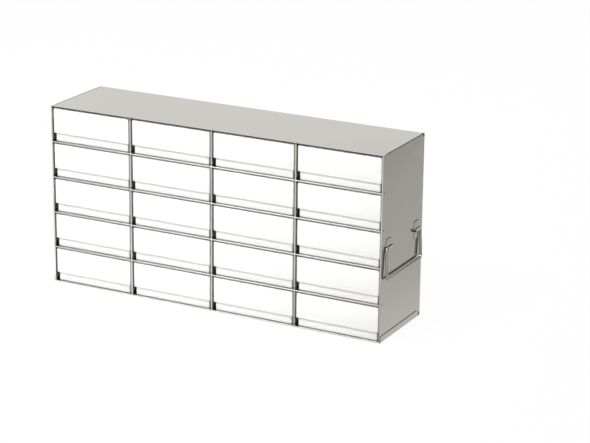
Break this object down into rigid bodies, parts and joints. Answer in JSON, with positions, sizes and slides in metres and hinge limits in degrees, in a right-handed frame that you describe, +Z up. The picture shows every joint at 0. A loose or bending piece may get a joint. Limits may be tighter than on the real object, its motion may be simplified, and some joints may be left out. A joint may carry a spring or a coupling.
{
  "type": "freezer storage rack",
  "caption": "Stainless sheet freezer rack, open at the front, with a lidded cardboard box in each compartment and a folding wire bail on one end.",
  "frame": {"origin": "centre of the rack's flat underside, where it rests", "axes": "+X along the rack towards the end with the bail, -Y out of the open side that the boxes slide out of, +Z up"},
  "size_m": [0.5655, 0.14, 0.281],
  "materials": {
    "stainless_sheet": "satin stainless sheet with fine lengthwise grain",
    "clip_strip": "satin stainless strip",
    "bright_wire": "bright drawn stainless wire",
    "boxboard": "white moisture-repellent board, matt"
  },
  "bodies": {
    "rack": {"floor_panel": "stainless_sheet", "top_panel": "stainless_sheet", "end_panel_handle": "stainless_sheet", "end_panel_plain": "stainless_sheet", "divider_1": "stainless_sheet", "divider_2": "stainless_sheet", "divider_3": "stainless_sheet", "shelf_1": "stainless_sheet", "shelf_2": "stainless_sheet", "shelf_3": "stainless_sheet", "shelf_4": "stainless_sheet", "handle_clip_front": "clip_strip", "handle_clip_rear": "clip_strip"},
    "bail": {"handle_bail": "bright_wire"},
    "box_r1c1": {"box_base_r1c1": "boxboard", "box_lid_r1c1": "boxboard"},
    "box_r1c2": {"box_base_r1c2": "boxboard", "box_lid_r1c2": "boxboard"},
    "box_r1c3": {"box_base_r1c3": "boxboard", "box_lid_r1c3": "boxboard"},
    "box_r1c4": {"box_base_r1c4": "boxboard", "box_lid_r1c4": "boxboard"},
    "box_r2c1": {"box_base_r2c1": "boxboard", "box_lid_r2c1": "boxboard"},
    "box_r2c2": {"box_base_r2c2": "boxboard", "box_lid_r2c2": "boxboard"},
    "box_r2c3": {"box_base_r2c3": "boxboard", "box_lid_r2c3": "boxboard"},
    "box_r2c4": {"box_base_r2c4": "boxboard", "box_lid_r2c4": "boxboard"},
    "box_r3c1": {"box_base_r3c1": "boxboard", "box_lid_r3c1": "boxboard"},
    "box_r3c2": {"box_base_r3c2": "boxboard", "box_lid_r3c2": "boxboard"},
    "box_r3c3": {"box_base_r3c3": "boxboard", "box_lid_r3c3": "boxboard"},
    "box_r3c4": {"box_base_r3c4": "boxboard", "box_lid_r3c4": "boxboard"},
    "box_r4c1": {"box_base_r4c1": "boxboard", "box_lid_r4c1": "boxboard"},
    "box_r4c2": {"box_base_r4c2": "boxboard", "box_lid_r4c2": "boxboard"},
    "box_r4c3": {"box_base_r4c3": "boxboard", "box_lid_r4c3": "boxboard"},
    "box_r4c4": {"box_base_r4c4": "boxboard", "box_lid_r4c4": "boxboard"},
    "box_r5c1": {"box_base_r5c1": "boxboard", "box_lid_r5c1": "boxboard"},
    "box_r5c2": {"box_base_r5c2": "boxboard", "box_lid_r5c2": "boxboard"},
    "box_r5c3": {"box_base_r5c3": "boxboard", "box_lid_r5c3": "boxboard"},
    "box_r5c4": {"box_base_r5c4": "boxboard", "box_lid_r5c4": "boxboard"}
  },
  "joints": [
    {"name": "bail_hinge", "type": "hinge", "parent": "rack", "child": "bail", "pos_m": [0.28125, 0, 0.14047], "axis": [0, -1, 0], "range_deg": [-2.6, 177]},
    {"name": "box_r1c1_slide", "type": "slide", "parent": "rack", "child": "box_r1c1", "axis": [0, -1, 0], "range_m": [0, 0.14]},
    {"name": "box_r1c2_slide", "type": "slide", "parent": "rack", "child": "box_r1c2", "axis": [0, -1, 0], "range_m": [0, 0.14]},
    {"name": "box_r1c3_slide", "type": "slide", "parent": "rack", "child": "box_r1c3", "axis": [0, -1, 0], "range_m": [0, 0.14]},
    {"name": "box_r1c4_slide", "type": "slide", "parent": "rack", "child": "box_r1c4", "axis": [0, -1, 0], "range_m": [0, 0.14]},
    {"name": "box_r2c1_slide", "type": "slide", "parent": "rack", "child": "box_r2c1", "axis": [0, -1, 0], "range_m": [0, 0.14]},
    {"name": "box_r2c2_slide", "type": "slide", "parent": "rack", "child": "box_r2c2", "axis": [0, -1, 0], "range_m": [0, 0.14]},
    {"name": "box_r2c3_slide", "type": "slide", "parent": "rack", "child": "box_r2c3", "axis": [0, -1, 0], "range_m": [0, 0.14]},
    {"name": "box_r2c4_slide", "type": "slide", "parent": "rack", "child": "box_r2c4", "axis": [0, -1, 0], "range_m": [0, 0.14]},
    {"name": "box_r3c1_slide", "type": "slide", "parent": "rack", "child": "box_r3c1", "axis": [0, -1, 0], "range_m": [0, 0.14]},
    {"name": "box_r3c2_slide", "type": "slide", "parent": "rack", "child": "box_r3c2", "axis": [0, -1, 0], "range_m": [0, 0.14]},
    {"name": "box_r3c3_slide", "type": "slide", "parent": "rack", "child": "box_r3c3", "axis": [0, -1, 0], "range_m": [0, 0.14]},
    {"name": "box_r3c4_slide", "type": "slide", "parent": "rack", "child": "box_r3c4", "axis": [0, -1, 0], "range_m": [0, 0.14]},
    {"name": "box_r4c1_slide", "type": "slide", "parent": "rack", "child": "box_r4c1", "axis": [0, -1, 0], "range_m": [0, 0.14]},
    {"name": "box_r4c2_slide", "type": "slide", "parent": "rack", "child": "box_r4c2", "axis": [0, -1, 0], "range_m": [0, 0.14]},
    {"name": "box_r4c3_slide", "type": "slide", "parent": "rack", "child": "box_r4c3", "axis": [0, -1, 0], "range_m": [0, 0.14]},
    {"name": "box_r4c4_slide", "type": "slide", "parent": "rack", "child": "box_r4c4", "axis": [0, -1, 0], "range_m": [0, 0.14]},
    {"name": "box_r5c1_slide", "type": "slide", "parent": "rack", "child": "box_r5c1", "axis": [0, -1, 0], "range_m": [0, 0.14]},
    {"name": "box_r5c2_slide", "type": "slide", "parent": "rack", "child": "box_r5c2", "axis": [0, -1, 0], "range_m": [0, 0.14]},
    {"name": "box_r5c3_slide", "type": "slide", "parent": "rack", "child": "box_r5c3", "axis": [0, -1, 0], "range_m": [0, 0.14]},
    {"name": "box_r5c4_slide", "type": "slide", "parent": "rack", "child": "box_r5c4", "axis": [0, -1, 0], "range_m": [0, 0.14]}
  ]
}
